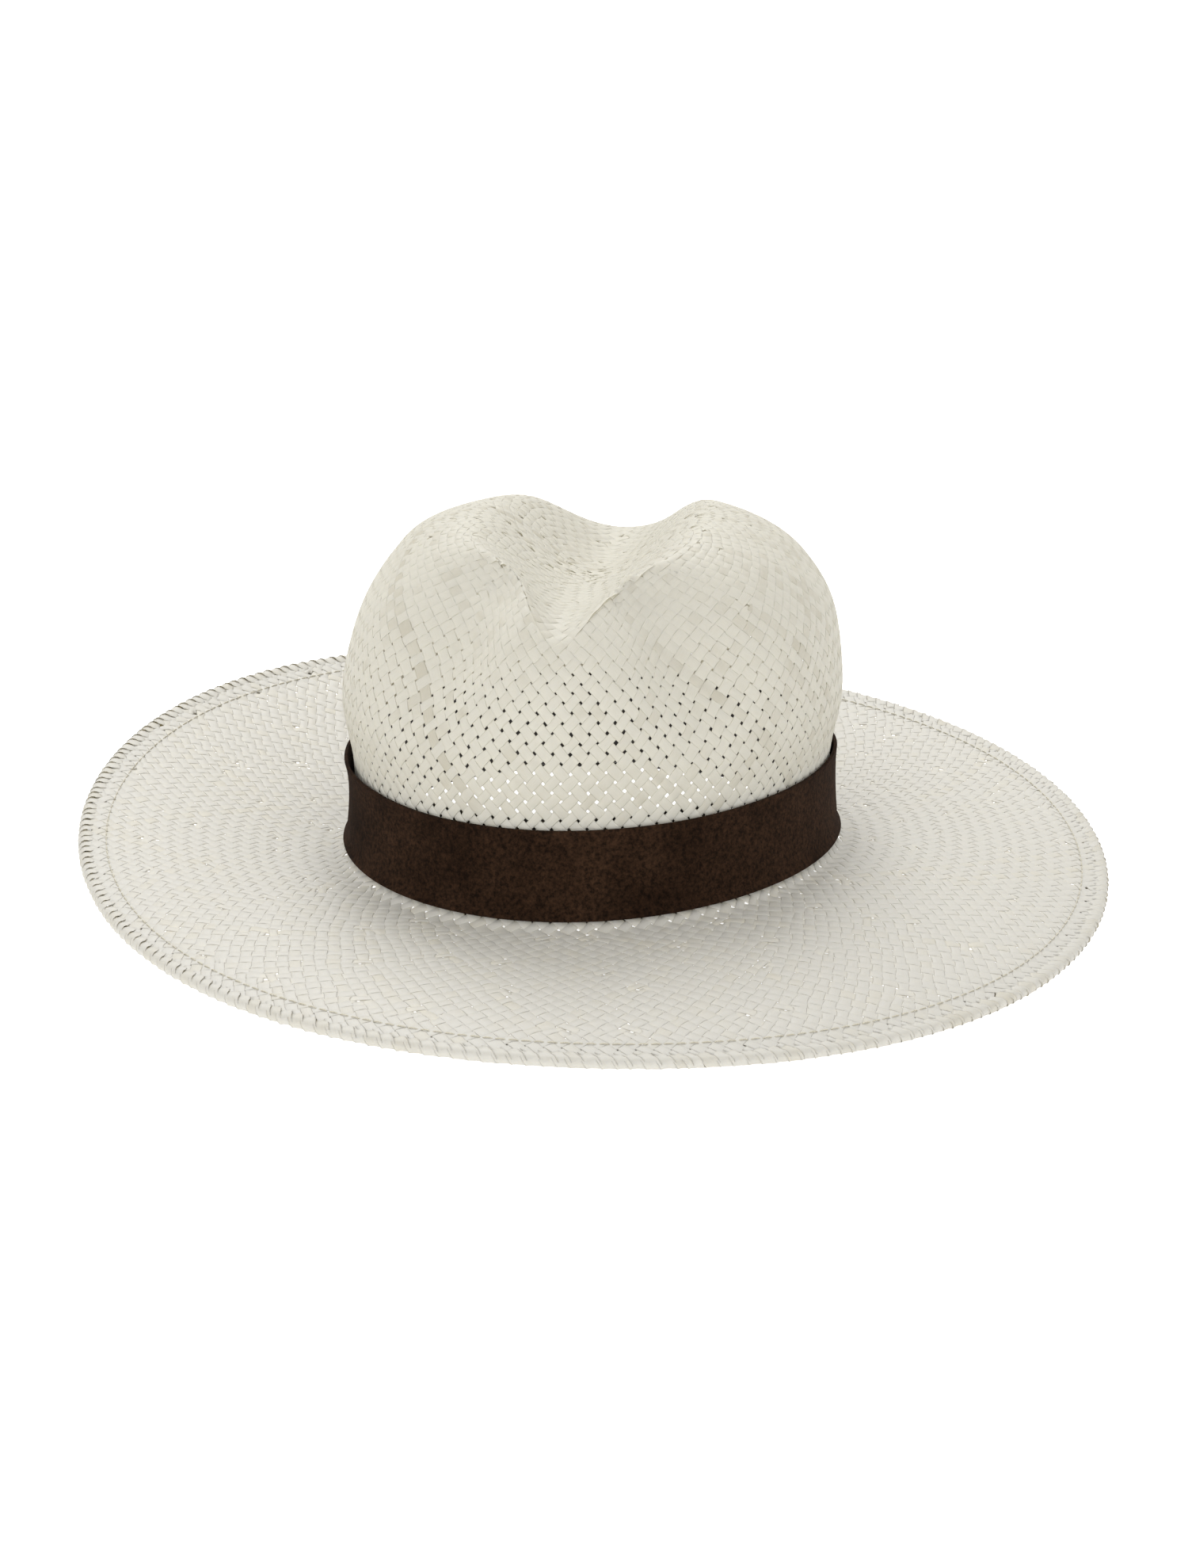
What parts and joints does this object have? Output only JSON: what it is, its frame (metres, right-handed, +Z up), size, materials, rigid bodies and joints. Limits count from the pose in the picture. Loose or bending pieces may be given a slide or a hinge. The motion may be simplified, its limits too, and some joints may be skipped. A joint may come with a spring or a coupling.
{
  "type": "panama hat",
  "caption": "Woven straw hat with a pinched, creased crown, wide snapped brim with a stitched hem, dark suede band and inner sweatband.",
  "frame": {"origin": "centre of the head opening, in the plane where the crown wall turns into the brim", "axes": "+Z up through the crown, -Y towards the front of the hat, +X towards the wearer's left"},
  "size_m": [0.3617, 0.3974, 0.1363],
  "materials": {
    "straw": "matte natural woven straw, bleached off-white, strands slightly glossy and translucent",
    "suede": "dark brown suede with short brushed nap",
    "sweatband": "dark ribbed ribbon, matte",
    "thread": "cream sewing thread, satin",
    "dark_thread": "dark brown sewing thread, satin",
    "wire": "plain spring steel wire, hidden in the hem",
    "reed": "cord covered with dark ribbon, matte"
  },
  "bodies": {
    "root": {"straw_body": "straw", "brim_edge_wire": "wire", "brim_hem_stitching": "thread", "hat_band": "suede", "hat_band_lap": "suede", "hat_band_lap_stitching": "dark_thread", "sweatband": "sweatband", "sweatband_reed": "reed", "sweatband_stitching": "dark_thread", "sweatband_seam_tape": "sweatband"}
  },
  "joints": []
}
